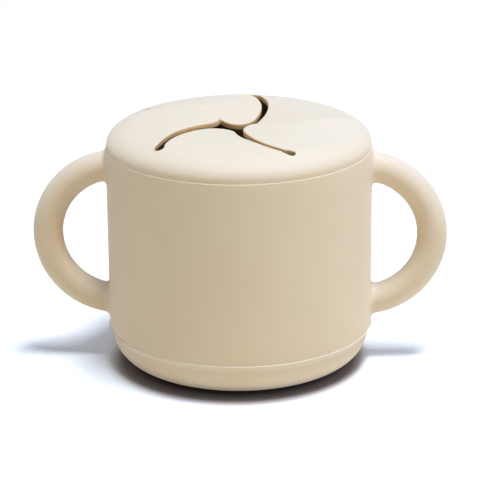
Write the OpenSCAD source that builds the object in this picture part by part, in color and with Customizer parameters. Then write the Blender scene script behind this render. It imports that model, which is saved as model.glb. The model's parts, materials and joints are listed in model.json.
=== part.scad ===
// Toddler snack cup: a soft silicone cup with two loop handles and a push-on lid.
// Five curved slits cut the lid's top into five flaps, which bend on their own live hinges.
// Millimetres, +Z up. The origin is the centre of the foot, on the surface the cup stands on.
// The handles lie on the X axis.

/* [Cup] */
// Outer diameter of the cup and the lid where they meet
cup_d = 88; // [80:0.5:100]
// Height of the cup's rim above the table
rim_h = 74; // [70:0.5:100]
// How much narrower in radius the wall is at the lower seam than at the rim
wall_draft = 0.2; // [0:0.1:1]
// Thickness of the wall
wall_t = 2.6; // [2:0.1:4]
// Thickness of the floor
floor_t = 3; // [2:0.1:5]
// Chamfer on each side of the two seams
seam_chamfer = 0.4; // [0.2:0.1:0.8]

/* [Base] */
// Height of the lower seam, where the wall stands on the base
seam_h = 12.5; // [11.5:0.5:18]
// How far the base leans in below the seam before its edge rounds off
foot_lean = 1; // [0:0.1:2]
// Width of the foot's rounded edge, measured inwards
foot_round_w = 11.5; // [8:0.5:16]
// Height of the foot's rounded edge
foot_round_h = 10.3; // [7:0.1:11]
// Height of the lip on the base that sits inside the wall
lap_h = 3; // [2:0.5:6]

/* [Handles] */
// Diameter of the round grip
grip_d = 10; // [8:0.5:12]
// Radius of the loop, to the middle of the grip
loop_r = 23.5; // [18:0.5:23.5]
// How far the loop's centre lies inside the wall's outer face
loop_inset = 3.5; // [1:0.5:8]
// Radius of the fillet where a grip grows out of the wall
root_fillet = 3; // [1:0.5:4]

/* [Lid] */
// Height of the lid above the rim
lid_h = 7; // [6.5:0.5:12]
// Thickness of the lid and of its flaps
lid_t = 2; // [1.6:0.1:2.4]
// Height of the upright band between the seam and the lid's rounded edge
lid_band_h = 1; // [0.5:0.1:2]
// Width of the lid's rounded edge, measured inwards
lid_round_w = 9.5; // [6:0.5:12]
// Depth that the lid's skirt reaches down inside the cup
skirt_depth = 7; // [4:0.5:10]
// Thickness of the skirt
skirt_t = 2; // [1.6:0.1:3]
// Gap between the skirt and the inside of the wall
skirt_gap = 0.3; // [0.2:0.05:0.6]

/* [Flaps] */
// Angle of the first slit's outer end, from the right handle
swirl_turn = 11.5; // [0:0.5:71.5]
// Bow of each slit: how far its middle lies off a straight line
slit_bow = 5.8; // [3:0.1:7]
// Width of the slits
slit_w = 2.2; // [1.4:0.1:2.8]
// Diameter of the round hole that ends each slit
slit_hole_d = 3.6; // [3:0.1:4.5]
// Land between a slit's hole and the skirt
hole_land = 1.1; // [0.4:0.1:3]
// Radius of the flaps' rounded tips
tip_r = 6.4; // [3:0.1:8]
// Gap round a flap's hinge
hinge_gap = 0.3; // [0.2:0.05:0.4]
// Farthest that a flap bends up, in degrees
bend_up = 60; // [30:1:70]
// Farthest that a flap bends down, in degrees
bend_down = 75; // [30:1:75]

/* [Hidden] */
$fn = 96;
flap_count = 5;
arc_steps = 14;          // straight steps along each rounded edge
overrun = 1;             // how far a cutter runs past what it cuts
brim_sink = 0.1;         // how deep the brim of a grip's root lies under the wall's face
root_bite = 0.3;         // how far a root's fillet runs on into the grip
tip_proud = 0.02;        // how far a flap's round tip stands out past its slit edges
root_slim = 0.05;        // how far a flap's round root lies under its faces
root_lap = 0.2;          // how far that root runs in under the flap
silicone = [0.87, 0.79, 0.68];
silicone_light = [0.91, 0.85, 0.76];

rim_r = cup_d / 2;
seam_r = rim_r - wall_draft;
lap_t = wall_t / 2;                       // the base's lip takes the inner half of the wall
foot_r = seam_r - foot_lean - foot_round_w;
grip_r = grip_d / 2;
loop_x = rim_r - loop_inset;
loop_z = (rim_h + seam_h) / 2;            // the loops sit midway between the seams
lid_top = rim_h + lid_h;
lid_round_h = lid_h - lid_band_h;
skirt_r = rim_r - wall_t - skirt_gap;

// The swirl. Each slit is an arc from the lid's centre out to its hole.
slit_step = 360 / flap_count;
hole_r = skirt_r - skirt_t - hole_land - slit_hole_d / 2;
slit_arc_r = (pow(hole_r / 2, 2) + pow(slit_bow, 2)) / (2 * slit_bow);
hinge_x = hole_r * cos(slit_step / 2);        // from the lid's centre to a flap's hinge
hinge_half = hole_r * sin(slit_step / 2);     // half the length between two holes
hinge_z = lid_top - lid_t / 2;
hinge_r = lid_t / 2 - root_slim;

// Points along a quarter of an ellipse about c, from angle a0 to angle a1.
function edge_arc(c, rx, ry, a0, a1) =
    [for (i = [0:arc_steps]) let (a = a0 + (a1 - a0) * i / arc_steps)
        [c.x + rx * cos(a), c.y + ry * sin(a)]];

function turned(p, a) = [p.x * cos(a) - p.y * sin(a), p.x * sin(a) + p.y * cos(a)];

// Where two circles cross, on the left-hand side of the way from the first centre to the second.
function circles_meet(c0, r0, c1, r1) =
    let (d = norm(c1 - c0), e = (c1 - c0) / d, a = (d * d + r0 * r0 - r1 * r1) / (2 * d),
         h = sqrt(r0 * r0 - a * a))
    c0 + a * e + h * [-e.y, e.x];

// Cup ---------------------------------------------------------------------------

// Everything inside the wall's outer face, which trims the handles to the wall.
module wall_envelope() {
    rotate_extrude()
        polygon([[0, 0], [seam_r, 0], [seam_r, seam_h + seam_chamfer],
                 [rim_r, rim_h - seam_chamfer], [rim_r, lid_top], [0, lid_top]]);
}

module cup_wall() {
    c = seam_chamfer;
    color(silicone) rotate_extrude() polygon([
        [seam_r - lap_t, seam_h],
        [seam_r - c, seam_h], [seam_r, seam_h + c],
        [rim_r, rim_h - c], [rim_r - c, rim_h],
        [rim_r - wall_t + c, rim_h], [rim_r - wall_t, rim_h - c],
        [seam_r - wall_t, seam_h + lap_h], [seam_r - lap_t, seam_h + lap_h]]);
}

module base() {
    c = seam_chamfer;
    inside_r = seam_r - wall_t;
    hollow_w = foot_round_w - wall_t;
    hollow_h = foot_round_h - floor_t;
    color(silicone) rotate_extrude() polygon(concat(
        [[0, 0]],
        edge_arc([foot_r, foot_round_h], foot_round_w, foot_round_h, -90, 0),
        [[seam_r, seam_h - c], [seam_r - c, seam_h], [seam_r - lap_t, seam_h],
         [seam_r - lap_t, seam_h + lap_h], [inside_r, seam_h + lap_h], [inside_r, seam_h]],
        edge_arc([inside_r - foot_lean - hollow_w, foot_round_h], hollow_w, hollow_h, 0, -90),
        [[0, floor_t]]));
}

// Handles -----------------------------------------------------------------------

// One end of the grip flares into the wall. Its brim lies just under the wall's face all round,
// also at the sides, where the wall curves away from it.
module grip_root() {
    root_z = sqrt(pow(loop_r, 2) - pow(loop_inset + root_fillet / 2, 2));
    flare_r = grip_r + root_fillet;
    brim_x = sqrt(pow(seam_r, 2) - pow(flare_r, 2)) - brim_sink;
    translate([brim_x, 0, loop_z + root_z])
        rotate([0, 90, 0]) rotate_extrude() polygon(concat(
            [[0, -wall_t], [flare_r, -wall_t]],
            edge_arc([flare_r, root_fillet], root_fillet + root_bite, root_fillet, -90, -180),
            [[0, root_fillet]]));
}

module handle(side) {
    color(silicone) rotate([0, 0, side > 0 ? 0 : 180]) difference() {
        union() {
            translate([loop_x, 0, loop_z]) rotate([90, 0, 0])
                rotate_extrude(start = -90, angle = 180) translate([loop_r, 0]) circle(grip_r);
            grip_root();
            translate([0, 0, 2 * loop_z]) mirror([0, 0, 1]) grip_root();
        }
        wall_envelope();
    }
}

// Lid ---------------------------------------------------------------------------

// The lid's section, with its top closed right across.
module lid_section() {
    c = seam_chamfer;
    flat_r = rim_r - lid_round_w;
    skirt_foot = rim_h - skirt_depth;
    difference() {
        polygon(concat(
            [[0, rim_h], [rim_r - c, rim_h], [rim_r, rim_h + c]],
            edge_arc([flat_r, rim_h + lid_band_h], lid_round_w, lid_round_h, 0, 90),
            [[0, lid_top]]));
        polygon(concat(
            [[0, rim_h - overrun], [skirt_r - skirt_t, rim_h - overrun]],
            [for (p = edge_arc([flat_r, rim_h + lid_band_h], lid_round_w - lid_t,
                               lid_round_h - lid_t, 0, 90)) if (p.x < skirt_r - skirt_t) p],
            [[0, lid_top - lid_t]]));
    }
    polygon([
        [skirt_r - skirt_t, skirt_foot], [skirt_r - c, skirt_foot], [skirt_r, skirt_foot + c],
        [skirt_r, rim_h + lid_band_h], [skirt_r - skirt_t, rim_h + lid_band_h]]);
}

// Places its children at each slit or at each flap.
module at_slits() {
    for (k = [0:flap_count - 1]) rotate([0, 0, swirl_turn + k * slit_step]) children();
}

// The space that a flap's root needs in the ring, over the whole of its bend.
module hinge_seat() {
    room = lid_t / 2 + hinge_gap;
    rotate([0, 0, slit_step / 2]) translate([hinge_x, 0, hinge_z]) {
        rotate([90, 0, 0]) cylinder(r = room, h = 2 * hinge_half, center = true);
        for (a = [-bend_down, 0, bend_up]) rotate([0, a, 0])
            translate([-3 * room, -hinge_half, -room]) cube([3 * room, 2 * hinge_half, 2 * room]);
    }
}

module lid_ring() {
    corner = [for (k = [0:flap_count - 1]) turned([hole_r, 0], k * slit_step)];
    color(silicone_light) difference() {
        rotate_extrude() lid_section();
        rotate([0, 0, swirl_turn]) translate([0, 0, lid_top - lid_t - overrun])
            linear_extrude(lid_t + 2 * overrun) polygon(corner);
        at_slits() {
            translate([hole_r, 0, lid_top - lid_t - overrun])
                cylinder(d = slit_hole_d, h = lid_t + 2 * overrun);
            hinge_seat();
        }
    }
}

// Plan of a flap between the slit that ends at angle 0 and the next one.
module flap_plan() {
    edge = slit_w / 2;
    c0 = [hole_r / 2, slit_arc_r - slit_bow];
    c1 = turned(c0, slit_step);
    r0 = slit_arc_r - edge;
    r1 = slit_arc_r + edge;
    tip = circles_meet(c0, r0 - tip_r, c1, r1 + tip_r);
    meet0 = c0 + (tip - c0) / norm(tip - c0) * r0;
    meet1 = c1 + (tip - c1) / norm(tip - c1) * r1;
    intersection() {
        difference() {
            translate(c0) circle(r0);
            translate(c1) circle(r1);
            polygon([meet0, meet1, meet1 - 2 * tip, meet0 - 2 * tip]);
        }
        rotate(slit_step / 2) translate([hinge_x - 2 * hole_r, -2 * hole_r])
            square([2 * hole_r, 4 * hole_r]);
    }
    translate(tip) circle(tip_r + tip_proud);
}

// The number of a flap counts anticlockwise, seen from above, from the first slit.
module flap(number) {
    // the next slit runs in at a flat angle, so the root stops short of it
    flat_angle = 90 - slit_step / 2 - asin(hole_r / 2 / slit_arc_r);
    start = slit_hole_d / 2;
    stop = max(start, slit_w / 2 / sin(flat_angle));
    root_l = 2 * hinge_half - start - stop;
    color(silicone_light) rotate([0, 0, swirl_turn + (number - 1) * slit_step]) {
        difference() {
            translate([0, 0, lid_top - lid_t]) linear_extrude(lid_t) flap_plan();
            for (a = [0, slit_step]) rotate([0, 0, a])
                translate([hole_r, 0, lid_top - lid_t - overrun])
                    cylinder(d = slit_hole_d, h = lid_t + 2 * overrun);
        }
        rotate([0, 0, slit_step / 2]) translate([hinge_x, start - hinge_half, hinge_z])
            rotate([-90, 0, 0]) rotate([0, 0, -90]) linear_extrude(root_l)
                intersection() {
                    circle(hinge_r);
                    translate([-hinge_r, -root_lap]) square(2 * hinge_r);
                }
    }
}

cup_wall();
base();
handle(-1);  // handle_left
handle(1);  // handle_right
lid_ring();
for (k = [1:flap_count])
    flap(k);
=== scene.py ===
import json
import math

import bpy
import numpy as np
from mathutils import Matrix, Vector
from mathutils.geometry import delaunay_2d_cdt


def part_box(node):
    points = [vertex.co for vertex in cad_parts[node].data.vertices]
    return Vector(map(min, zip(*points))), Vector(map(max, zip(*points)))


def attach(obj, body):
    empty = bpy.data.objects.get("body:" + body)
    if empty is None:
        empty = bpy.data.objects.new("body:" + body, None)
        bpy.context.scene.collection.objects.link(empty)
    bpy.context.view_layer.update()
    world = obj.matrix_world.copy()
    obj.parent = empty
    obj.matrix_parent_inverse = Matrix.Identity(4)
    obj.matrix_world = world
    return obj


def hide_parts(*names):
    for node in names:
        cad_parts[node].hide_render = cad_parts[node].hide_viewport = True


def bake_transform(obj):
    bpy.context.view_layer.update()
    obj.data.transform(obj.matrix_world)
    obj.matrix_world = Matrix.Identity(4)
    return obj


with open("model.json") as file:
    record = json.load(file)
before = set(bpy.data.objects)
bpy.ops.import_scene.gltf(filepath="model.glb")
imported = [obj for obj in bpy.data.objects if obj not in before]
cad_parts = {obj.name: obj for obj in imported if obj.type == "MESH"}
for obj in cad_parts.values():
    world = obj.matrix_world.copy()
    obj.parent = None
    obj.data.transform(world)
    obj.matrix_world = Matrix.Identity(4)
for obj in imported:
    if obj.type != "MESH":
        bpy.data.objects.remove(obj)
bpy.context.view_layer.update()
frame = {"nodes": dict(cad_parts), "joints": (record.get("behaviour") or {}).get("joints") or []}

scene = bpy.context.scene
mm = 0.001
tiny = 1e-9  # metres, two places nearer than this are one
print("frame loaded,", len(frame["nodes"]), "nodes")

shot = {  # the camera
    "lens": 199.35,             # mm on a 36 mm sensor, a long portrait lens
    "sensor": 36.0,
    "distance": 0.8873,
    "azimuth": 2.4,             # degrees, towards the right handle
    "elevation": 19.05,
    "roll": -0.5,               # degrees, the left side sits a little lower
    "aim": (0.0001, 0.0, 0.0405),
    "clip": (0.05, 20.0),
}


def makeCamera():
    camData = bpy.data.cameras.new("shotCamera")
    camera = bpy.data.objects.new("shotCamera", camData)
    scene.collection.objects.link(camera)
    camData.sensor_width = shot["sensor"]
    camData.lens = shot["lens"]
    camData.clip_start, camData.clip_end = shot["clip"]
    azimuth, elevation, roll = (math.radians(shot[k]) for k in ("azimuth", "elevation", "roll"))
    back = Vector((math.sin(azimuth) * math.cos(elevation),
                   -math.cos(azimuth) * math.cos(elevation), math.sin(elevation)))
    right = Vector((0, 0, 1)).cross(back).normalized()
    up = back.cross(right)
    tiltedRight = right * math.cos(roll) + up * math.sin(roll)
    tiltedUp = up * math.cos(roll) - right * math.sin(roll)
    turn = Matrix((tiltedRight, tiltedUp, back)).transposed().to_4x4()
    camera.matrix_world = Matrix.Translation(Vector(shot["aim"]) + back * shot["distance"]) @ turn
    scene.camera = camera


makeCamera()
scene.view_settings.view_transform = "Standard"
print("camera placed")

meshing = {  # what every mesh is made with
    "sharpAngle": 40,           # degrees, an edge sharper than this keeps its crease
    "rowStep": 0.866,           # rows of a fill's own points stand this share of their spacing apart,
    "edgeGap": 0.55,            # and none comes nearer the edge than this share of it
    "batch": 500,               # points measured at once, to keep memory low
}


def markRest(mesh):  # where each point rests, for the materials
    place = mesh.attributes.new("restPlace", "FLOAT_VECTOR", "POINT")
    points = np.zeros(len(mesh.vertices) * 3)
    mesh.vertices.foreach_get("co", points)
    place.data.foreach_set("vector", points)


def addMesh(name, points, faces, materials, slots=None):
    mesh = bpy.data.meshes.new(name)
    mesh.from_pydata([tuple(p) for p in points], [], faces)
    mesh.validate()
    mesh.polygons.foreach_set("use_smooth", [True] * len(mesh.polygons))
    mesh.set_sharp_from_angle(angle=math.radians(meshing["sharpAngle"]))
    for material in materials:
        mesh.materials.append(material)
    if slots:
        mesh.polygons.foreach_set("material_index", slots)
    markRest(mesh)
    piece = bpy.data.objects.new(name, mesh)
    scene.collection.objects.link(piece)
    return piece


def arc(cx, cy, rx, ry, startDeg, endDeg, steps):
    angles = np.radians(np.linspace(startDeg, endDeg, steps + 1))
    return [(cx + rx * math.cos(a), cy + ry * math.sin(a)) for a in angles]


def finely(profile, step):  # extra points, so no stretch of the profile is longer than step
    out = []
    for (r0, z0), (r1, z1) in zip(profile, profile[1:]):
        parts = max(1, math.ceil(math.hypot(r1 - r0, z1 - z0) / step))
        out += [(r0 + (r1 - r0) * i / parts, z0 + (z1 - z0) * i / parts) for i in range(parts)]
    return out + [profile[-1]]


def ringOf(r, z, count):
    angles = np.arange(count) * 2 * math.pi / count
    return np.stack([r * np.cos(angles), r * np.sin(angles), np.full(count, z)], 1)


def latheFaces(first, rings, count):  # quads between rings whose points start at index first
    faces = []
    for j in range(rings - 1):
        a, b = first + j * count, first + (j + 1) * count
        for i in range(count):
            k = (i + 1) % count
            faces.append((a + i, a + k, b + k, b + i))
    return faces


def latheSolid(name, profile, count, materials):  # a closed profile of (r, z), anticlockwise
    body = [(r, z) for r, z in profile if r >= tiny]
    points = np.concatenate([ringOf(r, z, count) for r, z in body])
    faces = latheFaces(0, len(body), count)
    last = (len(body) - 1) * count
    pairs = [(i, (i + 1) % count) for i in range(count)]
    if len(body) == len(profile):  # the profile closes on itself, away from the axis
        faces += [(last + i, last + k, k, i) for i, k in pairs]
    else:  # it starts and ends on the axis
        bottom, top = len(points), len(points) + 1
        points = np.concatenate([points, [(0, 0, profile[0][1]), (0, 0, profile[-1][1])]])
        for i, k in pairs:
            faces += [(k, i, bottom), (last + i, last + k, top)]
    return addMesh(name, points, faces, materials)


def insideLoop(points, loop):  # even-odd test, for many points at once
    px, py = points[:, 0][:, None], points[:, 1][:, None]
    x0, y0 = loop[:, 0][None], loop[:, 1][None]
    x1, y1 = np.roll(loop, -1, 0).T[:, None]
    crosses = (y0 > py) != (y1 > py)
    with np.errstate(divide="ignore", invalid="ignore"):
        at = x0 + (py - y0) * (x1 - x0) / (y1 - y0)
    return (np.sum(crosses & (px < at), 1) % 2) == 1


def insidePlan(points, loops):  # inside the first loop and outside the others
    inside = insideLoop(points, loops[0])
    for hole in loops[1:]:
        inside &= ~insideLoop(points, hole)
    return inside


def fillPlan(loops, spacing):  # triangles that fill a plan, with points of its own inside
    edge = np.concatenate(loops)
    low, high = edge.min(0), edge.max(0)
    grid = []
    for row, y in enumerate(np.arange(low[1], high[1], spacing * meshing["rowStep"])):
        shift = spacing / 2 if row % 2 else 0
        grid += [(x + shift, y) for x in np.arange(low[0], high[0], spacing)]
    grid = np.array(grid)
    grid = grid[insidePlan(grid, loops)]
    batches = np.array_split(grid, max(1, len(grid) // meshing["batch"]))
    nearest = np.concatenate([np.min(np.linalg.norm(batch[:, None] - edge[None], axis=2), 1)
                              for batch in batches])
    points = np.concatenate([edge, grid[nearest > spacing * meshing["edgeGap"]]])
    borders, start = [], 0
    for loop in loops:
        count = len(loop)
        borders += [(start + i, start + (i + 1) % count) for i in range(count)]
        start += count
    made = delaunay_2d_cdt([Vector(p) for p in points], borders, [], 0, tiny)
    origin = [ids[0] for ids in made[3]]
    triangles = np.array([[origin[v] for v in face] for face in made[2]])
    triangles = triangles[insidePlan(points[triangles].mean(1), loops)]
    a, b, c = (points[triangles[:, i]] for i in range(3))
    turn = (b[:, 0] - a[:, 0]) * (c[:, 1] - a[:, 1]) - (b[:, 1] - a[:, 1]) * (c[:, 0] - a[:, 0])
    triangles[turn < 0] = triangles[turn < 0][:, ::-1]
    return points, triangles


def searchBetween(near, far, isNear, halvings):  # where isNear turns false between two bounds
    for step in range(halvings):
        middle = (near + far) / 2
        if isNear(middle):
            near = middle
        else:
            far = middle
    return near


silicone = {  # the one material, with its grain and dust, and the light and shade painted into its colours
    "color": (0.904, 0.808, 0.648),         # sRGB, warm sand
    "deepColor": (0.890, 0.787, 0.622),     # where the tone drifts warmer
    "driftMm": 25.0,                        # size of the patches of that drift
    "driftMost": 0.6,                       # the most that it mixes in
    "noiseRange": (0.3, 0.7),               # where nearly all of a noise's values lie
    "paintedTopLightColor": (0.922, 0.893, 0.842),    # painted top light: faces that turn up are painted this paler colour, as the light from above shows them
    "slitBounceColor": (1.0, 0.835, 0.60),         # bare faces of the slits, painted warmer and brighter than the moulding for the light that bounces inside them
    "edgeHighlightColor": (1.0, 0.97, 0.91),         # their lower edges, painted nearly white as a thin highlight line; the silicone's glow also carries light to them
    "insideShadeColor": (0.83, 0.755, 0.62),     # painted shade inside the cup, darker than the moulding so that the slits look dark
    "innerShadeColor": (0.60, 0.53, 0.44),       # painted shade under the lid's ring, where no light falls
    "roughness": 0.62,
    "smoother": 0.05,                       # the roughness falls this far below and
    "rougher": 0.06,                        # rises this far above from place to place
    "unevenScale": 220.0,                   # the slow noise that it goes by,
    "unevenShare": 0.35,                    # and how much of that adds to the height of the grain
    "grainMm": 0.22,
    "grainStrength": 0.25,
    "grainHeight": 0.05 * mm,
    "ior": 1.41,
    "sheenRoughness": 0.6,
    "speckMm": 5.0,                         # one dust speck at most to a cell of this size
    "speckSize": 0.04,                      # in cells, before its outline is frayed
    "speckWobble": 2500.0,                  # scale of the noise that frays a speck's outline
    "dustColor": (0.60, 0.56, 0.50),
    "glowDepth": 1.3 * mm,                  # how far light travels inside the silicone
}


def linear(color):  # sRGB to linear, with alpha
    return tuple(c / 12.92 if c <= 0.04045 else ((c + 0.055) / 1.055) ** 2.4 for c in color) + (1.0,)


class Graph:  # a thin helper for placing and joining nodes
    def __init__(self, tree):
        self.tree = tree
        self.column = 0

    def add(self, kind, inputs=None, **settings):
        node = self.tree.nodes.new(kind)
        self.column += 1
        node.location = (self.column * 180, 0)
        for key, value in settings.items():
            setattr(node, key, value)
        for key, value in (inputs or {}).items():
            if isinstance(value, bpy.types.NodeSocket):
                self.tree.links.new(value, node.inputs[key])
            else:
                node.inputs[key].default_value = value
        return node

    def calc(self, operation, first, second):
        return self.add("ShaderNodeMath", {0: first, 1: second}, operation=operation).outputs[0]

    def mixColor(self, factor, first, second):
        return self.add("ShaderNodeMix", {0: factor, 6: first, 7: second}, data_type="RGBA").outputs[2]

    def remap(self, value, fromRange, toRange=(0.0, 1.0)):
        return self.add("ShaderNodeMapRange", {
            "Value": value, "From Min": fromRange[0], "From Max": fromRange[1],
            "To Min": toRange[0], "To Max": toRange[1]}).outputs[0]

    def noise(self, place, scale, **inputs):
        return self.add("ShaderNodeTexNoise", {"Vector": place, "Scale": scale, **inputs}).outputs["Fac"]

    def seenRays(self):  # 1 for rays from the camera and for those that a gloss sends on
        path = self.add("ShaderNodeLightPath").outputs
        return self.calc("MAXIMUM", path["Is Camera Ray"], path["Is Glossy Ray"])


def newGroup(name, inputs, outputs):
    group = bpy.data.node_groups.new(name, "ShaderNodeTree")
    for socketName, kind, default in inputs:
        socket = group.interface.new_socket(name=socketName, in_out="INPUT", socket_type=kind)
        socket.default_value = default
    for socketName, kind in outputs:
        group.interface.new_socket(name=socketName, in_out="OUTPUT", socket_type=kind)
    g = Graph(group)
    return g, g.add("NodeGroupInput").outputs, g.add("NodeGroupOutput").inputs


def makeToneAndTopLight():  # slow drift of tone over a moulding, as in a hand-mixed batch, and the painted top light that makes faces turning up paler
    g, given, result = newGroup("toneAndTopLight", [
        ("Position", "NodeSocketVector", (0, 0, 0)), ("Main Color", "NodeSocketColor", (1, 1, 1, 1)),
        ("Deep Color", "NodeSocketColor", (1, 1, 1, 1)), ("Painted Top Light Color", "NodeSocketColor", (1, 1, 1, 1)),
        ("Painted Top Light", "NodeSocketFloat", 0.0), ("Patch Scale", "NodeSocketFloat", 40.0)],
        [("Color", "NodeSocketColor")])
    patches = g.noise(given["Position"], given["Patch Scale"], Detail=3.0, Roughness=0.55)
    share = g.remap(patches, silicone["noiseRange"], (0.0, silicone["driftMost"]))
    drifted = g.mixColor(share, given["Main Color"], given["Deep Color"])
    withTopLight = g.mixColor(given["Painted Top Light"], drifted, given["Painted Top Light Color"])
    g.tree.links.new(withTopLight, result["Color"])
    return g.tree


def makeSkinGrain():  # the fine dry skin that a blasted mould leaves, as a height and as an unevenness
    g, given, result = newGroup("skinGrain", [
        ("Position", "NodeSocketVector", (0, 0, 0)), ("Grain Scale", "NodeSocketFloat", 4000.0)],
        [("Height", "NodeSocketFloat"), ("Unevenness", "NodeSocketFloat")])
    fine = g.noise(given["Position"], given["Grain Scale"], Detail=2.0, Roughness=0.6)
    slow = g.noise(given["Position"], silicone["unevenScale"], Detail=2.0)
    height = g.calc("ADD", fine, g.calc("MULTIPLY", slow, silicone["unevenShare"]))
    g.tree.links.new(height, result["Height"])
    g.tree.links.new(slow, result["Unevenness"])
    return g.tree


def makeDustSpecks():  # lint and dust that cling to silicone: a few tiny spots, one to a cell at most
    g, given, result = newGroup("dustSpecks", [
        ("Position", "NodeSocketVector", (0, 0, 0)), ("Cell Scale", "NodeSocketFloat", 200.0),
        ("Share", "NodeSocketFloat", 0.2), ("Size", "NodeSocketFloat", 0.04)],
        [("Mask", "NodeSocketFloat")])
    wobble = g.noise(given["Position"], silicone["speckWobble"])
    cells = g.add("ShaderNodeTexVoronoi", {"Vector": given["Position"], "Scale": given["Cell Scale"]})
    chance = g.add("ShaderNodeSeparateColor", {0: cells.outputs["Color"]}).outputs[0]
    picked = g.calc("LESS_THAN", chance, given["Share"])
    close = g.calc("LESS_THAN", cells.outputs["Distance"], g.calc("MULTIPLY", wobble, given["Size"]))
    g.tree.links.new(g.calc("MULTIPLY", picked, close), result["Mask"])
    return g.tree


toneAndTopLight, skinGrain, dustSpecks = makeToneAndTopLight(), makeSkinGrain(), makeDustSpecks()


def makeSilicone(name, tones, topLightPower=1.0, sheen=0.3, speckShare=0.12, glow=0.0):
    material = bpy.data.materials.new(name)
    material.use_nodes = True
    g = Graph(material.node_tree)
    sockets = g.tree.nodes["Principled BSDF"].inputs
    place = g.add("ShaderNodeAttribute", attribute_name="restPlace").outputs["Vector"]
    # painted top light: the more a face turns up in the world, the more of the paler colour it is painted
    # with
    normal = g.add("ShaderNodeNewGeometry").outputs["Normal"]
    facing = g.calc("MAXIMUM", g.add("ShaderNodeSeparateXYZ", {0: normal}).outputs["Z"], 0.0)

    def effect(group, inputs):
        return g.add("ShaderNodeGroup", {"Position": place, **inputs}, node_tree=group).outputs

    main, deep, topLightTone = (linear(tone) for tone in tones)
    tone = effect(toneAndTopLight, {"Main Color": main, "Deep Color": deep, "Painted Top Light Color": topLightTone,
                             "Painted Top Light": g.calc("POWER", facing, topLightPower),
                             "Patch Scale": 1 / (silicone["driftMm"] * mm)})
    grain = effect(skinGrain, {"Grain Scale": 1 / (silicone["grainMm"] * mm)})
    specks = effect(dustSpecks, {"Cell Scale": 1 / (silicone["speckMm"] * mm), "Share": speckShare,
                                 "Size": silicone["speckSize"]})
    dusty = g.mixColor(specks["Mask"], tone["Color"], linear(silicone["dustColor"]))
    rough = g.remap(grain["Unevenness"], silicone["noiseRange"],
                    (silicone["roughness"] - silicone["smoother"],
                     silicone["roughness"] + silicone["rougher"]))
    bump = g.add("ShaderNodeBump", {"Strength": silicone["grainStrength"],
                                    "Distance": silicone["grainHeight"], "Height": grain["Height"]})
    g.tree.links.new(dusty, sockets["Base Color"])
    g.tree.links.new(rough, sockets["Roughness"])
    g.tree.links.new(bump.outputs[0], sockets["Normal"])
    sockets["IOR"].default_value = silicone["ior"]
    sockets["Sheen Weight"].default_value = sheen
    sockets["Sheen Roughness"].default_value = silicone["sheenRoughness"]
    sockets["Sheen Tint"].default_value = (1, 1, 1, 1)
    if glow:  # light that the silicone carries from its top face to a thin edge
        sockets["Subsurface Weight"].default_value = glow
        sockets["Subsurface Radius"].default_value = (1.0, 1.0, 1.0)
        sockets["Subsurface Scale"].default_value = silicone["glowDepth"]
    return material


# the moulding's tones; the third is the painted top light
mouldAndTopLightTones = [silicone["color"], silicone["deepColor"], silicone["paintedTopLightColor"]]
cupSilicone = makeSilicone("cupSilicone", mouldAndTopLightTones, topLightPower=1.3)
cupInsideShade = makeSilicone("cupInsideShade", [silicone["insideShadeColor"]] * 3, sheen=0.0, speckShare=0.0)
handleSilicone = makeSilicone("handleSilicone", mouldAndTopLightTones, topLightPower=0.9)
lidSilicone = makeSilicone("lidSilicone", mouldAndTopLightTones)
slitBounceSilicone = makeSilicone("slitBounceSilicone", [silicone["slitBounceColor"]] * 3, sheen=0.1, speckShare=0.0,
                           glow=1.0)
edgeHighlightSilicone = makeSilicone("edgeHighlightSilicone", [silicone["edgeHighlightColor"]] * 3, sheen=0.1, speckShare=0.0,
                            glow=1.0)
innerShadeSilicone = makeSilicone("innerShadeSilicone", [silicone["innerShadeColor"]] * 3, sheen=0.0, speckShare=0.0)
print("materials made")

wallBox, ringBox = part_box("cup_wall"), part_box("lid_ring")
rimR, rimZ = wallBox[1].x, wallBox[1].z
seamZ, lidTop = wallBox[0].z, ringBox[1].z

cup = {  # the wall, and what it shares with the base and the lid
    "wall": 2.6 * mm,
    "draft": 0.2 * mm,          # the wall narrows this much in radius down to the lower seam
    "topEdge": 0.35 * mm,       # rounding of what lies below a seam,
    "topSteps": 6,
    "lowEdge": 0.15 * mm,       # and of what lies above it
    "lowSteps": 5,
    "lip": 3.0 * mm,            # the base reaches this far up inside the wall
    "proud": 0.25 * mm,         # at a seam the lower piece stands out this much
    "columns": 288,
    "step": 4 * mm,             # longest stretch between two rings of points
    "insideZ": 2.0 * mm,        # faces above this height and inside the wall belong to the inside,
    "insideReach": 0.1 * mm,    # which starts this far out from the wall's inner face
}
seamR = rimR - cup["draft"]


def paintInsideShade(piece, innerR):  # the faces that look into the cup get the painted inside shade
    insideR = innerR + cup["insideReach"]
    for face in piece.data.polygons:
        centre, normal = face.center, face.normal
        outwards = centre.x * normal.x + centre.y * normal.y
        if math.hypot(centre.x, centre.y) < insideR and outwards <= tiny:
            face.material_index = int(centre.z > cup["insideZ"])


def makeCupWall():
    t, e, low = cup["wall"], cup["topEdge"], cup["lowEdge"]
    inR, lapR, steps = seamR - t, seamR - t / 2, cup["topSteps"]
    profile = ([(lapR, seamZ)] + arc(seamR - low, seamZ + low, low, low, -90, 0, cup["lowSteps"])
               + arc(rimR - e, rimZ - e, e, e, 0, 90, steps)
               + arc(rimR - t + e, rimZ - e, e, e, 90, 180, steps)
               + [(inR, seamZ + cup["lip"]), (lapR, seamZ + cup["lip"])])
    wall = latheSolid("cupWall", finely(profile, cup["step"]), cup["columns"], [cupSilicone, cupInsideShade])
    paintInsideShade(wall, rimR - t)
    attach(wall, "cup")
    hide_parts("cup_wall")


foot = {  # the base, rounded outside and in
    "lean": 1.0 * mm,           # the foot draws in this much below the seam, before it rounds under
    "roundW": 11.5 * mm,
    "roundH": 10.3 * mm,
    "roundSteps": 28,
    "floor": 3.0 * mm,
    "hollowSteps": 20,
    "step": 5 * mm,
}


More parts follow.
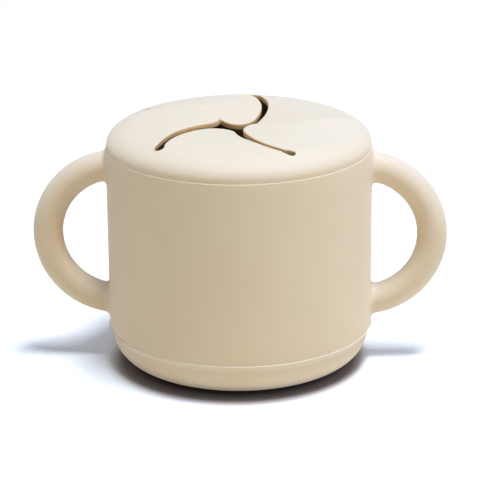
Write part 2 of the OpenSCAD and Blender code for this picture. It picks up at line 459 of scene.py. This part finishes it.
def makeBase():
    t, e = cup["wall"], cup["topEdge"]
    inR, lapR = seamR - t, seamR - t / 2
    roundW, roundH = foot["roundW"], foot["roundH"]
    hollowW, hollowH = roundW - t, roundH - foot["floor"]
    footR, hollowR = seamR - foot["lean"] - roundW, inR - foot["lean"] - hollowW
    profile = ([(0, 0)] + arc(footR, roundH, roundW, roundH, -90, 0, foot["roundSteps"])
               + arc(seamR + cup["proud"] - e, seamZ - e, e, e, 0, 90, cup["topSteps"])
               + [(lapR, seamZ), (lapR, seamZ + cup["lip"]), (inR, seamZ + cup["lip"]), (inR, seamZ)]
               + arc(hollowR, roundH, hollowW, hollowH, 0, -90, foot["hollowSteps"])
               + [(0, foot["floor"])])
    base = latheSolid("footBase", finely(profile, foot["step"]), cup["columns"], [cupSilicone, cupInsideShade])
    paintInsideShade(base, inR)
    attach(base, "cup")
    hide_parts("base")


makeCupWall()
makeBase()
print("cup wall and base made")

handle = {  # half a ring on each side
    "gripR": 5.0 * mm,
    "loopR": 23.5 * mm,
    "rootRound": 2.2 * mm,      # fillet where the grip grows out of the wall
    "sink": 0.3 * mm,           # how deep the ends go under the wall's face
    "around": 48,
    "along": 84,
    "rootSteps": 8,
    "halvings": 40,
}


def wallRadius(z):
    return seamR + (rimR - seamR) * (z - seamZ) / (rimZ - seamZ)


def gripLine(phi, loopX, loopZ):  # one long line of the grip, from the lower root round to the upper
    rootRound, steps = handle["rootRound"], handle["rootSteps"]
    reach = handle["loopR"] + handle["gripR"] * math.cos(phi)

    def at(theta):
        return np.array([loopX + reach * math.cos(theta), handle["gripR"] * math.sin(phi),
                         loopZ + reach * math.sin(theta)])

    def isOutside(theta):
        x, y, z = at(theta)
        return math.hypot(x, y) - wallRadius(z) > 0

    def rootCurve(sign):  # from the grip over the fillet to under the wall's face
        theta = searchBetween(0.0, sign * math.pi / 2, isOutside, handle["halvings"])
        startTheta = theta - sign * rootRound / reach
        start, meet = at(startTheta), at(theta)
        inward = np.array([meet[0], meet[1], 0]) / math.hypot(meet[0], meet[1])
        tubeOut = np.array([math.cos(phi) * math.cos(theta), math.sin(phi),
                            math.cos(phi) * math.sin(theta)])
        onWall = tubeOut - inward * tubeOut.dot(inward)
        end = meet + onWall / np.linalg.norm(onWall) * rootRound
        end[:2] *= wallRadius(end[2]) / math.hypot(end[0], end[1])
        curve = [(1 - t) ** 2 * start + 2 * t * (1 - t) * meet + t * t * end
                 for t in (i / steps for i in range(steps + 1))]
        under = end.copy()
        under[:2] *= 1 - handle["sink"] / math.hypot(end[0], end[1])
        return startTheta, curve + [under]

    lowTheta, lowCurve = rootCurve(-1)
    highTheta, highCurve = rootCurve(1)
    middle = [at(a) for a in np.linspace(lowTheta, highTheta, handle["along"])[1:-1]]
    return lowCurve[::-1] + middle + highCurve


def makeHandle(name, side, node):
    low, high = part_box(node)
    loopX = max(abs(low.x), abs(high.x)) - handle["loopR"] - handle["gripR"]
    loopZ, around = (rimZ + seamZ) / 2, handle["around"]
    lines = [gripLine(2 * math.pi * i / around, loopX, loopZ) for i in range(around)]
    rows = len(lines[0])
    points = [line[j] for j in range(rows) for line in lines]
    faces = latheFaces(0, rows, around)
    for row in (0, rows - 1):  # hidden caps under the wall's face
        ring = list(range(row * around, (row + 1) * around))
        centre = len(points)
        points.append(np.mean([points[i] for i in ring], 0))
        caps = [(a, b, centre) for a, b in zip(ring, ring[1:] + ring[:1])]
        faces += caps if row else [(b, a, centre) for a, b, centre in caps]
    piece = addMesh(name, np.array(points) * (side, side, 1), faces, [handleSilicone])
    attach(piece, "cup")
    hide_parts(node)


makeHandle("gripRight", 1, "handle_right")
makeHandle("gripLeft", -1, "handle_left")
print("handles made")

flapJoints = [j for j in frame["joints"] if j["name"].startswith("flap_")]
flapCount = len(flapJoints)
slitStep = 2 * math.pi / flapCount
hingeX = float(np.hypot(*flapJoints[0]["pos_m"][:2]))  # distance of a hinge line from the axis

lid = {  # the turned parts
    "thick": 2.0 * mm,
    "band": 1.0 * mm,           # upright band over the seam
    "roundW": 9.25 * mm,
    "roundSteps": 25,
    "crown": 0.68 * mm,         # how much the middle stands up
    "skirt": 2.0 * mm,
    "skirtGap": 0.3 * mm,
    "skirtDepth": rimZ - ringBox[0].z,
    "skirtSteps": 4,
    "planR": 39.5 * mm,         # the lathe starts here, outside the slits' holes
    "columns": 288,
    "spacing": 1.1 * mm,
    "step": 3 * mm,
}
slit = {  # one of the arcs, with its hole and the tip of the flap beside it
    "bow": 5.8 * mm,
    "halfW": 1.10 * mm,
    "holeR": 1.5 * mm,
    "holeLong": 1.5 * mm,       # straight length of a hole, before its round end
    "widenOver": 1.6 * mm,      # the slit swells into its hole over this length
    "tipR": 6.4 * mm,
    "edge": 0.35 * mm,          # rounding of the flaps' edges
    "edgeSteps": 4,
    "wallRows": 3,
    "along": 70,
    "tipSteps": 20,
    "capSteps": 18,
    "holeSteps": (10, 4),       # points beside a hole, on its clockwise side and on the other
    "chordSteps": 40,
    "searchFrom": 0.6,          # a hinge line is looked for from this share of the slit's length
    "searchPast": 0.2,          # to this share of the hole's radius past its end
    "halvings": 50,
}
bandZ = rimZ + lid["band"]
flatR = rimR - cup["proud"] - lid["roundW"]
roundH = lidTop - bandZ - lid["crown"]
skirtR = rimR - cup["wall"] - lid["skirtGap"]
skirtIn = skirtR - lid["skirt"]
holeReach = hingeX / math.cos(slitStep / 2)
slitR = ((holeReach / 2) ** 2 + slit["bow"] ** 2) / (2 * slit["bow"])
slitSweep = 2 * math.asin(holeReach / 2 / slitR)
slitLength = slitR * slitSweep
slitCentre = np.array([holeReach / 2, slitR - slit["bow"]])


def lidShape(r, width, height):  # one face of the lid: flat middle, elliptic edge, slight crown
    past = np.clip((r - flatR) / width, 0, 1)
    return bandZ + height * np.sqrt(1 - past ** 2) + lid["crown"] * (1 - (r / rimR) ** 2)


def lidOver(r):
    return lidShape(r, lid["roundW"], roundH)


def lidUnder(r):
    return lidShape(r, lid["roundW"] - lid["thick"], roundH - lid["thick"])


def turned(points, angle):
    c, s = math.cos(angle), math.sin(angle)
    return np.asarray(points) @ np.array([[c, s], [-s, c]])


def smooth(t):
    t = np.clip(t, 0, 1)
    return t * t * (3 - 2 * t)


def slitHalf(s):  # half the slit's width at s along it
    swellFrom = slitLength - slit["holeLong"] - slit["widenOver"]
    return slit["halfW"] + (slit["holeR"] - slit["halfW"]) * smooth((s - swellFrom) / slit["widenOver"])


def slitSide(s, side, inset):  # side +1 is the clockwise side; inset moves into the silicone
    angle = s / slitR - math.pi / 2 - slitSweep / 2
    r = slitR + side * (slitHalf(s) + inset)
    return slitCentre + r * np.array([math.cos(angle), math.sin(angle)])


chordOut = np.array([math.cos(slitStep / 2), math.sin(slitStep / 2)])


def chordCrossing(side, inset):  # s where the slit's side meets the hinge line of the flap on that side
    out = chordOut if side < 0 else turned(chordOut, -slitStep)
    return searchBetween(slitLength * slit["searchFrom"], slitLength + slit["holeR"] * slit["searchPast"],
                         lambda s: slitSide(s, side, inset).dot(out) < hingeX, slit["halvings"])


def circlesMeet(c0, r0, c1, r1):  # where two circles cross, left of the line between their centres
    d = np.linalg.norm(c1 - c0)
    e = (c1 - c0) / d
    a = (d * d + r0 * r0 - r1 * r1) / (2 * d)
    return c0 + a * e + math.sqrt(r0 * r0 - a * a) * np.array([-e[1], e[0]])


nextCentre = turned(slitCentre, slitStep)
tipCentre = circlesMeet(slitCentre, slitR - slit["halfW"] - slit["tipR"],
                        nextCentre, slitR + slit["halfW"] + slit["tipR"])


def angleOf(direction):
    return math.atan2(direction[1], direction[0])


def roundCap(centre, r, fromAngle, toAngle, count):  # points of an arc, turning left, without its ends
    if toAngle < fromAngle:
        toAngle += 2 * math.pi
    return [centre + r * np.array([math.cos(a), math.sin(a)])
            for a in np.linspace(fromAngle, toAngle, count)[1:-1]]


def flapEdge(inset):  # the free edge of a flap, from its hinge line round the tip and back
    toNext, toOwn = tipCentre - nextCentre, tipCentre - slitCentre

    def slitLengthAt(direction):
        return (angleOf(direction) + math.pi / 2 + slitSweep / 2) * slitR

    nextTip, ownTip = slitLengthAt(turned(toNext, -slitStep)), slitLengthAt(toOwn)
    nextSide = [turned(slitSide(s, 1, inset), slitStep)
                for s in np.linspace(chordCrossing(1, inset), nextTip, slit["along"])]
    ownSide = [slitSide(s, -1, inset)
               for s in np.linspace(ownTip, chordCrossing(-1, inset), slit["along"])]
    tip = roundCap(tipCentre, slit["tipR"] - inset, angleOf(-toNext), angleOf(toOwn), slit["tipSteps"])
    return np.array(nextSide + tip + ownSide)


def holeEdge(inset):  # the ring's edge round one slit's hole, between two hinge lines
    beforeCount, afterCount = slit["holeSteps"]
    before = [slitSide(s, 1, inset)
              for s in np.linspace(chordCrossing(1, inset), slitLength, beforeCount)]
    after = [slitSide(s, -1, inset)
             for s in np.linspace(slitLength, chordCrossing(-1, inset), afterCount)]
    centre = np.array([holeReach, 0])
    cap = roundCap(centre, slit["holeR"] + inset, angleOf(before[-1] - centre), angleOf(after[0] - centre),
                   slit["capSteps"])
    return np.array(before + cap + after)


def chordPoints(inset):  # inner points of a hinge line, from the flap's own slit to the next
    a = slitSide(chordCrossing(-1, inset), -1, inset)
    b = turned(slitSide(chordCrossing(1, inset), 1, inset), slitStep)
    return np.array([a + (b - a) * i / slit["chordSteps"] for i in range(1, slit["chordSteps"])])


def rimmedStack(edgeAt, heightOver, heightUnder):  # rows of points down over a cut's rounded edges
    e, wallRows = slit["edge"], slit["wallRows"]
    angles = np.linspace(0, math.pi / 2, slit["edgeSteps"] + 1)
    levels = [(e * (1 - math.sin(a)), e * (1 - math.cos(a))) for a in angles]  # inset and drop
    rows = []
    for inset, drop in levels:
        plan = edgeAt(inset)
        rows.append(np.c_[plan, heightOver(plan) - drop])
    plan = edgeAt(0)
    topZ, lowZ = heightOver(plan) - e, heightUnder(plan) + e
    for i in range(1, wallRows):
        rows.append(np.c_[plan, topZ + (lowZ - topZ) * i / wallRows])
    for inset, drop in reversed(levels):
        plan = edgeAt(inset)
        rows.append(np.c_[plan, heightUnder(plan) + drop])
    return rows


lidMaterials = [lidSilicone, slitBounceSilicone, edgeHighlightSilicone, innerShadeSilicone]
skinSlot, cutSlot, edgeSlot, innerShadeSlot = range(len(lidMaterials))


def rimSlot(row):  # material slot of a row of faces on a rounded edge
    if row < slit["edgeSteps"]:
        return skinSlot
    return cutSlot if row < slit["edgeSteps"] + slit["wallRows"] else edgeSlot


class Draft:  # points, faces and their material slots, while a piece of the lid is put together
    def __init__(self):
        self.points, self.faces, self.slots = [], [], []

    def addPoints(self, points):  # gives back their numbers
        first = len(self.points)
        self.points.extend(points)
        return list(range(first, len(self.points)))

    def addFaces(self, faces, slot=skinSlot):
        self.faces.extend(faces)
        self.slots.extend([slot] * len(faces))

    def addEdge(self, rows):  # a rounded edge from its rows of points
        ids = [self.addPoints(row) for row in rows]
        for j, (upper, lower) in enumerate(zip(ids, ids[1:])):
            self.addFaces(list(zip(upper, lower, lower[1:], upper[1:])), rimSlot(j))
        return ids

    def addHinge(self, left, right, topLine, lowLine, flip=False):  # the upright face of a hinge line
        face = [row[-1] for row in left] + lowLine + [row[0] for row in reversed(right)] + topLine[::-1]
        self.addFaces([face[::-1] if flip else face])

    def addFill(self, loops, heightAt, slot=skinSlot, flip=False):  # the face between loops of points
        plan = np.array(self.points)[:, :2]
        points, triangles = fillPlan([plan[ids] for ids in loops], lid["spacing"])
        border = sum(loops, [])
        extra = points[len(border):]
        ids = border + self.addPoints(np.c_[extra, heightAt(extra)])
        faces = [[ids[i] for i in triangle] for triangle in triangles]
        self.addFaces([face[::-1] for face in faces] if flip else faces, slot)

    def finish(self, name, joint, materials):  # turned to where the joint's flap is
        points = np.array(self.points)
        points[:, :2] = turned(points[:, :2], angleOf(joint["pos_m"]) - slitStep / 2)
        return addMesh(name, points, self.faces, materials, self.slots)


flap = {  # how the flaps lie when nothing touches them, and the length a moving flap bends over
    "bendOver": 7.0 * mm,       # a moving flap bends over this length next to its hinge line
    "hingeFade": 9.1 * mm,      # its resting shape dies out over this length past the hinge line,
    "rimFade": 4.0 * mm,        # and over this length towards the lid's rounded edge
    "passOver": math.radians(2.2),  # the ring passes to the next flap's shape over twice this angle
    "riseOver": 0.6,            # a flap has its rise and lean after this share of the way inwards
    "tipPower": 1.5,            # above 1 it keeps the tip's own rise near the tip
    "farthest": 1.3,            # from this share of the way on nothing changes
    "leanWidth": 10 * mm,       # lean and twist are rises this far to the side of the middle line
    "rest": {                   # in mm, past the hinge (rise, lean) and added towards the tip (tip, twist)
        "flap_1": {"rise": 1.87, "tip": -3.39, "lean": 0.92, "twist": -2.18},
        "flap_2": {"rise": 2.54, "tip": -4.28, "lean": 1.59, "twist": -2.19},
        "flap_3": {"rise": 1.60, "tip": -0.64, "lean": 0.49, "twist": -1.26},
        "flap_4": {"rise": 1.80, "tip": -1.90, "lean": 0.79, "twist": -1.06},
        "flap_5": {"rise": 2.45, "tip": -0.97, "lean": 1.06, "twist": -0.73},
    },
}


def restLift(plan, name):  # how far a resting flap stands off the lid's even shape
    rest = flap["rest"][name]
    t = np.clip((hingeX + flap["hingeFade"] - plan @ chordOut) / hingeX, 0, flap["farthest"])
    across = plan @ np.array([-chordOut[1], chordOut[0]]) / flap["leanWidth"]
    early = smooth(t / flap["riseOver"])
    inner = smooth((lid["planR"] - np.linalg.norm(plan, axis=1)) / flap["rimFade"])
    return (rest["rise"] * early + rest["tip"] * t ** flap["tipPower"]
            + (rest["lean"] * early + rest["twist"] * t) * across) * inner * mm


def ringLift(plan):  # the ring follows the flaps' shapes next to their hinge lines
    angle = np.arctan2(plan[:, 1], plan[:, 0])
    blend = flap["passOver"]
    total = np.zeros(len(plan))
    for k, joint in enumerate(flapJoints):
        into = np.mod(angle - k * slitStep + math.pi, 2 * math.pi) - math.pi
        share = smooth((into + blend) / (2 * blend)) * smooth((slitStep + blend - into) / (2 * blend))
        total += share * restLift(turned(plan, -k * slitStep), joint["child"])
    return total


def liftedFaces(liftAt):  # the heights of the lid's two faces over a plan, both with the same lift
    def over(plan):
        return lidOver(np.linalg.norm(plan, axis=1)) + liftAt(plan)

    def under(plan):
        return lidUnder(np.linalg.norm(plan, axis=1)) + liftAt(plan)

    return over, under


def makeFlap(joint):
    name = joint["child"]
    over, under = liftedFaces(lambda plan: restLift(plan, name))
    draft = Draft()
    edge = draft.addEdge(rimmedStack(flapEdge, over, under))
    chord = chordPoints(slit["edge"])
    topLine, lowLine = (draft.addPoints(np.c_[chord, heightAt(chord)]) for heightAt in (over, under))
    draft.addFill([edge[0] + topLine], over)
    draft.addFill([edge[-1] + lowLine], under, flip=True)
    draft.addHinge(edge, edge, topLine, lowLine, flip=True)
    piece = draft.finish("lidFlap" + name[-1], joint, lidMaterials[:innerShadeSlot])  # no painted inner shade on a flap
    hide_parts(name)
    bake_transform(piece)


def turnedProfile():  # over the rounded edge, down the band, under to the skirt and up inside it
    e, steps, skirtZ = cup["lowEdge"], lid["skirtSteps"], rimZ - lid["skirtDepth"]
    start = math.asin((lid["planR"] - flatR) / lid["roundW"])
    reach = flatR + lid["roundW"] * np.sin(np.linspace(start, math.pi / 2, lid["roundSteps"] + 1))
    profile = ([(r, float(lidOver(r))) for r in reach]
               + arc(rimR - cup["proud"] - e, rimZ + e, e, e, 0, -90, cup["lowSteps"]) + [(skirtR, rimZ)]
               + arc(skirtR - e, skirtZ + e, e, e, 0, -90, steps)
               + arc(skirtIn + e, skirtZ + e, e, e, -90, -180, steps)
               + [(skirtIn, float(lidUnder(skirtIn)))])
    return finely(profile, lid["step"])


def makeLidRing():
    over, under = liftedFaces(ringLift)
    draft = Draft()
    holes, topInner, lowInner = [], [], []
    for k in range(flapCount):  # the hole after each hinge line
        rows = rimmedStack(lambda inset: turned(holeEdge(inset), (k + 1) * slitStep), over, under)
        holes.append(draft.addEdge(rows))
    chords = [turned(chordPoints(slit["edge"]), k * slitStep) for k in range(flapCount)]
    topLines, lowLines = ([draft.addPoints(np.c_[chord, heightAt(chord)]) for chord in chords]
                          for heightAt in (over, under))
    for k in range(flapCount):  # the inner edge, and the upright face of each hinge line
        topInner += topLines[k] + holes[k][0]
        lowInner += lowLines[k] + holes[k][-1]
        draft.addHinge(holes[k - 1], holes[k], topLines[k], lowLines[k])
    profile = turnedProfile()
    rings = [draft.addPoints(ringOf(r, z, lid["columns"])) for r, z in profile]
    # the inside of the skirt and the ring's underside get the painted shade
    innerFrom = next(ring[0] for ring, (r, z) in zip(rings, profile) if r <= skirtIn + cup["lowEdge"] / 2)
    for face in latheFaces(rings[0][0], len(rings), lid["columns"]):
        draft.addFaces([face[::-1]], innerShadeSlot if min(face) >= innerFrom else skinSlot)
    draft.addFill([rings[0], topInner], over)
    draft.addFill([rings[-1], lowInner], under, innerShadeSlot, flip=True)
    ring = draft.finish("lidRing", flapJoints[0], lidMaterials)
    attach(ring, "lid")
    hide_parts("lid_ring")


makeLidRing()
print("lid ring made")
for joint in flapJoints:
    makeFlap(joint)
print("flaps made")

studio = {  # the floor, the air and the lamps
    "floorSize": 8.0,
    "floorColor": (0.94, 0.955, 0.98),
    "seenColor": (1.12, 1.23, 1.42),    # linear, the paper as the camera sees it
    "whiteRange": (0.28, 0.5),          # radii between which it runs into the white backdrop
    # a painted contact shadow on the paper the camera sees, dark round the foot
    "paintedShadowPlace": (-0.0006, -0.0042, 0),
    "paintedShadowRange": (0.032, 0.0452),    # radii between which the painted contact shadow comes back from dark to full
    "paintedShadowColor": (0.07, 0.06, 0.062),
    "paintedShadowStops": {0.5: (0.24, 0.215, 0.225), 0.66: (0.50, 0.48, 0.52), 0.8: (0.85, 0.90, 1.0)},
    "worldLight": 0.30,
    "worldTint": (0.93, 0.97, 1.04),
    "aim": (0, 0, 0.04),                # where both lamps point
    "topBox": {"power": 70.5, "tint": (1.0, 0.99, 0.965), "size": (0.95, 0.63),
               "place": (0.46, -0.30, 3.0)},
    "rightBox": {"power": 1.5, "tint": (0.70, 0.92, 1.46), "size": (0.5, 0.5),
                 "place": (0.8, -0.35, 0.18)},
}


def makeFloorPaper():
    material = bpy.data.materials.new("floorPaper")
    material.use_nodes = True
    g = Graph(material.node_tree)
    paper = g.add("ShaderNodeBsdfDiffuse", {"Color": linear(studio["floorColor"])}).outputs[0]
    place = g.add("ShaderNodeTexCoord").outputs["Object"]
    # the painted contact shadow: the seen paper darkens towards the foot
    radius = g.add("ShaderNodeVectorMath", {0: place, 1: studio["paintedShadowPlace"]},
                   operation="DISTANCE").outputs["Value"]
    paintedShadow = g.add("ShaderNodeValToRGB", {"Fac": g.remap(radius, studio["paintedShadowRange"])})
    stops = paintedShadow.color_ramp.elements
    stops[0].color = (*studio["paintedShadowColor"], 1)
    stops[1].color = (*studio["seenColor"], 1)
    for position, color in studio["paintedShadowStops"].items():
        stops.new(position).color = (*color, 1)
    seenPaper = g.add("ShaderNodeBsdfDiffuse", {"Color": paintedShadow.outputs[0]}).outputs[0]
    white = g.add("ShaderNodeEmission", {"Color": (1, 1, 1, 1), "Strength": 1.0}).outputs[0]
    farAway = g.remap(radius, studio["whiteRange"])
    seenFloor = g.add("ShaderNodeMixShader", {0: farAway, 1: seenPaper, 2: white}).outputs[0]
    mix = g.add("ShaderNodeMixShader", {0: g.seenRays(), 1: paper, 2: seenFloor}).outputs[0]
    g.tree.links.new(mix, g.tree.nodes["Material Output"].inputs["Surface"])
    return material


def makeFloor():
    half = studio["floorSize"] / 2
    mesh = bpy.data.meshes.new("floor")
    mesh.from_pydata([(-half, -half, 0), (half, -half, 0), (half, half, 0), (-half, half, 0)], [],
                     [(0, 1, 2, 3)])
    mesh.materials.append(makeFloorPaper())
    floor = bpy.data.objects.new("floor", mesh)
    scene.collection.objects.link(floor)


def makeWorld():
    world = bpy.data.worlds.new("studioAir")
    scene.world = world
    world.use_nodes = True
    g = Graph(world.node_tree)
    seen = g.seenRays()
    strength = g.add("ShaderNodeMix", {0: seen, 2: studio["worldLight"], 3: 1.0}, data_type="FLOAT")
    color = g.mixColor(seen, (*studio["worldTint"], 1), (1, 1, 1, 1))
    back = g.tree.nodes["Background"].inputs
    g.tree.links.new(strength.outputs[0], back["Strength"])
    g.tree.links.new(color, back["Color"])


def makeLamp(name):
    look = studio[name]
    lamp = bpy.data.lights.new(name, "AREA")
    lamp.shape = "RECTANGLE"
    lamp.size, lamp.size_y = look["size"]
    lamp.energy = look["power"]
    lamp.color = look["tint"]
    holder = bpy.data.objects.new(name, lamp)
    scene.collection.objects.link(holder)
    holder.location = look["place"]
    aim = Vector(studio["aim"]) - holder.location
    holder.rotation_euler = aim.to_track_quat("-Z", "Y").to_euler()


makeFloor()
makeWorld()
makeLamp("topBox")
makeLamp("rightBox")
print("floor and light made")
